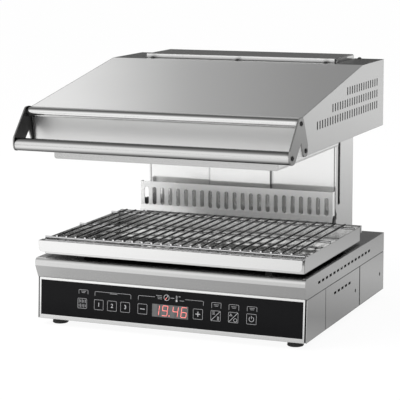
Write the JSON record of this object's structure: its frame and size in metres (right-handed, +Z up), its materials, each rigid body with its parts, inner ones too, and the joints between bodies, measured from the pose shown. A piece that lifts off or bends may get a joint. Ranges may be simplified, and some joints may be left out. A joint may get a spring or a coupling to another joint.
{
  "type": "lift-hood salamander grill",
  "caption": "Counter-top salamander grill: a vented steel hood with a heater slides on a rear column over a wire grid, drip tray and touch-panel base.",
  "frame": {"origin": "on the counter, under the middle of the whole outline", "axes": "+X to the right seen from the front, +Y to the back, +Z up"},
  "size_m": [0.6, 0.64, 0.545],
  "materials": {
    "steel": "fine brushed stainless steel sheet",
    "bright_steel": "polished stainless steel",
    "dark_steel": "dull heat-darkened steel",
    "black_metal": "black satin coat",
    "chrome": "bright chromed rod",
    "aluminium": "milled",
    "brass": "turned",
    "foot_rubber": "matt black rubber",
    "black_glass": "gloss black glass with printed signs",
    "heater_glass": "dark ceramic glass",
    "fibre_ceramic": "pressed fibre",
    "insulation_wool": "pressed mineral wool",
    "circuit_board": "green circuit board",
    "display_plastic": "grey display body",
    "black_plastic": "moulded",
    "terminal_plastic": "moulded ivory"
  },
  "bodies": {
    "base": {"base_cap": "steel", "base_pan": "steel", "base_rear_panel": "steel", "board_standoffs": "brass", "cable_gland": "black_plastic", "column_cap": "steel", "column_centre_cover": "steel", "column_rear_cover": "steel", "column_shell": "steel", "control_fascia": "steel", "control_glass": "black_glass", "cover_screws": "bright_steel", "display_module": "display_plastic", "feet": "foot_rubber", "foot_screws": "bright_steel", "gland_nut": "black_plastic", "guard_bracket_left": "black_metal", "guard_bracket_right": "black_metal", "guard_pins": "bright_steel", "guard_switch": "black_plastic", "guide_rods": "chrome", "mains_terminal_block": "terminal_plastic", "power_board": "circuit_board", "power_relays": "black_plastic", "rod_bracket_lower": "aluminium", "rod_bracket_upper": "aluminium", "service_cover_middle": "steel", "service_cover_rear": "steel", "spring_cylinders": "black_metal", "touch_board": "circuit_board", "tray_runners": "dark_steel", "tray_stop_rail": "black_metal"},
    "hood": {"lift_beam": "dark_steel", "bush_blocks": "aluminium", "guide_bushes": "brass", "spring_rods": "chrome", "hood_skin": "steel", "hood_side_left": "steel", "hood_side_right": "steel", "hood_bottom": "steel", "hood_buffers": "foot_rubber", "heater_pan": "steel", "ceramic_glass": "heater_glass", "heater_dishes": "fibre_ceramic", "heater_ribbons": "dark_steel", "insulation_board": "insulation_wool", "hood_terminal_block": "terminal_plastic", "handle_plate_left": "steel", "handle_plate_right": "steel", "handle_top_bar": "bright_steel", "handle_grip_bar": "bright_steel", "handle_screws": "black_metal"},
    "tray": {"drip_tray": "steel", "tray_front_plate": "bright_steel"},
    "grid": {"grill_grid": "chrome"},
    "guard": {"plate_guard": "bright_steel", "guard_arms": "black_metal"}
  },
  "joints": [
    {"name": "hood_lift", "type": "slide", "parent": "base", "child": "hood", "axis": [0, 0, 1], "range_m": [-0.14, 0]},
    {"name": "tray_slide", "type": "slide", "parent": "base", "child": "tray", "axis": [0, -1, 0], "range_m": [0, 0.36]},
    {"name": "grid_lift", "type": "slide", "parent": "tray", "child": "grid", "axis": [0, 0, 1], "range_m": [0, 0.022]},
    {"name": "guard_press", "type": "hinge", "parent": "base", "child": "guard", "pos_m": [0, 0.172, 0.198], "axis": [-1, 0, 0], "range_deg": [0, 4]}
  ]
}
